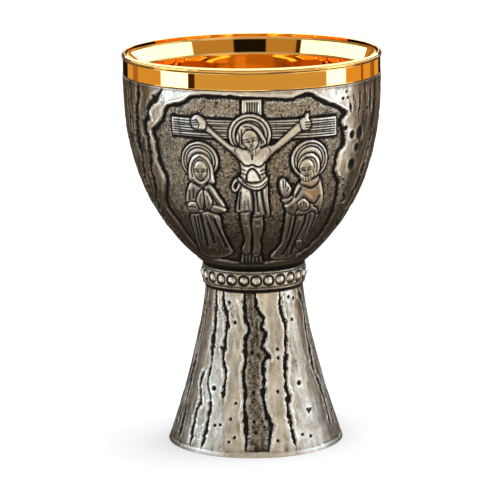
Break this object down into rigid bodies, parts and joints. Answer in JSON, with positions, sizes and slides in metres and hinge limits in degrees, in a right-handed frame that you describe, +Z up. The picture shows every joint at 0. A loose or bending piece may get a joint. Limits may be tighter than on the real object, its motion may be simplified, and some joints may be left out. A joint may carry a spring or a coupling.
{
  "type": "communion chalice",
  "caption": "Communion chalice: a gilt cup screws down into a relief-cast silver bowl casing on a beaded collar and a flared, hollow, bark-textured foot.",
  "frame": {"origin": "centre of the foot's rest plane", "axes": "+Z up along the chalice's axis, -Y out of the relief panel's middle, +X to the right of someone facing the panel"},
  "size_m": [0.111, 0.111, 0.17],
  "materials": {
    "antique_silver": "oxidised cast silver plate, polished on the high parts and blackened in the recesses",
    "gilt": "mirror-polished gold plate",
    "plain_brass": "turned, unplated",
    "steel": "turned",
    "leather": "vegetable-tanned, cut edges"
  },
  "bodies": {
    "stem": {"foot_shell": "antique_silver", "base_ring": "plain_brass", "stem_top_plate": "plain_brass", "threaded_bush": "plain_brass", "beaded_collar": "antique_silver", "dowel_left": "steel", "dowel_right": "steel", "bowl_casing": "antique_silver"},
    "seat": {"seat_washer": "leather"},
    "cup": {"cup_liner": "gilt", "cup_boss": "plain_brass", "tie_stud": "steel"}
  },
  "joints": [
    {"name": "cup_rise", "type": "slide", "parent": "stem", "child": "seat", "axis": [0, 0, 1], "range_m": [0, 0.0106]},
    {"name": "cup_turn", "type": "hinge", "parent": "seat", "child": "cup", "pos_m": [0, 0, 0.088], "axis": [0, 0, 1], "range_deg": [0, 2520]}
  ],
  "couplings": [
    {"joint": "cup_rise", "follows": "cup_turn", "m_per_rad": 0.00023873}
  ]
}
